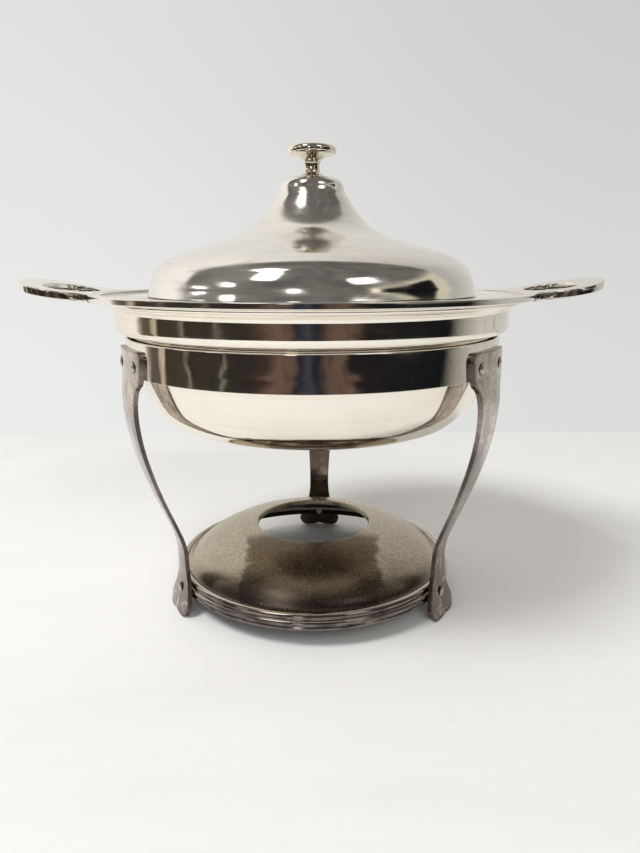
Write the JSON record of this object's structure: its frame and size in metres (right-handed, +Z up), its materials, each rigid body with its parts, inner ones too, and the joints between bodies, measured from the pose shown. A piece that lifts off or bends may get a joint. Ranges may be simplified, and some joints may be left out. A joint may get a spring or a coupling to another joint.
{
  "type": "round chafing dish",
  "caption": "Round silver-plated chafing dish: bell lid with a turned knob, loop-handled food pan, water pan, and a legged stand with an open domed burner tray.",
  "frame": {"origin": "on the floor under the dish's vertical axis, midway between the two handle tips", "axes": "+X from the left handle to the right handle seen from the front, +Y from the front to the third leg at the back, +Z up"},
  "size_m": [0.3866, 0.29, 0.3041],
  "materials": {
    "silver_plate": "polished silver plate, lightly worn",
    "silver_knob": "polished turned solid, slightly yellowed",
    "leg_plate": "satin tarnished plate, pinkish grey",
    "tray_plate": "mottled olive and brown tarnish",
    "tray_rim_plate": "polished, dark purple-brown tarnish",
    "rivet_metal": "polished domed heads",
    "screw_metal": "plain turned steel"
  },
  "bodies": {
    "stand": {"stand_ring": "silver_plate", "leg_left": "leg_plate", "leg_right": "leg_plate", "leg_rear": "leg_plate", "leg_rivets": "rivet_metal", "tray_rivets": "rivet_metal", "burner_tray": "tray_plate", "tray_rim": "tray_rim_plate"},
    "water_pan": {"water_pan": "silver_plate", "water_pan_rim": "silver_plate"},
    "food_pan": {"food_pan": "silver_plate", "food_pan_border": "silver_plate", "handle_left": "silver_plate", "handle_right": "silver_plate"},
    "lid": {"lid": "silver_plate", "knob": "silver_knob", "knob_washer": "screw_metal", "knob_screw": "screw_metal"}
  },
  "joints": [
    {"name": "water_pan_lift", "type": "slide", "parent": "stand", "child": "water_pan", "axis": [0, 0, 1], "range_m": [0, 0.09]},
    {"name": "food_pan_lift", "type": "slide", "parent": "water_pan", "child": "food_pan", "axis": [0, 0, 1], "range_m": [0, 0.08]},
    {"name": "lid_lift", "type": "slide", "parent": "food_pan", "child": "lid", "axis": [0, 0, 1], "range_m": [0, 0.12]}
  ]
}
